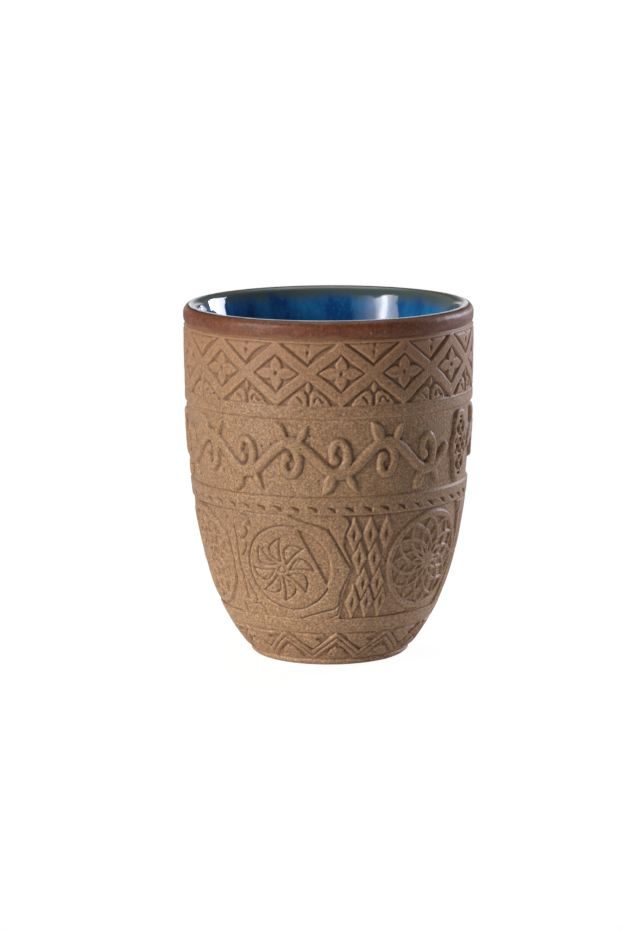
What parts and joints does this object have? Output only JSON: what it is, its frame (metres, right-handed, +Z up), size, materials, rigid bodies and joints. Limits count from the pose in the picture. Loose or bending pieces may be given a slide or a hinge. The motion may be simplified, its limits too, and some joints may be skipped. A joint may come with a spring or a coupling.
{
  "type": "coffee cup",
  "caption": "Small handle-less stoneware coffee cup: rounded wall on a narrow foot, rolled rim, blue glazed inside and bands of raised traditional ornament outside.",
  "frame": {"origin": "middle of the foot ring, on the surface that the cup stands on", "axes": "+Z up along the cup's axis of rotation; -Y is the front that the picture shows, +X to its right"},
  "size_m": [0.06, 0.06, 0.0733],
  "materials": {
    "clay": "sandy unglazed stoneware, matt",
    "relief": "sandy unglazed stoneware, matt, edges softened",
    "rim_slip": "iron-red slip, smooth and matt",
    "glaze": "glossy reactive blue glaze that breaks pale at the lip"
  },
  "bodies": {
    "root": {"clay_body": "clay", "rim_band": "rim_slip", "interior_glaze": "glaze", "diamond_lattice": "relief", "diamond_flowers": "relief", "hanging_triangles": "relief", "palmettes": "relief", "frieze_fillet": "relief", "vine_scroll": "relief", "cartouches": "relief", "notched_border": "relief", "rosettes": "relief", "stem_ornaments": "relief", "roundels": "relief", "star_frames": "relief", "lozenge_panels": "relief", "base_fillet": "relief", "zigzag_border": "relief", "zigzag_leaves": "relief"}
  },
  "joints": []
}
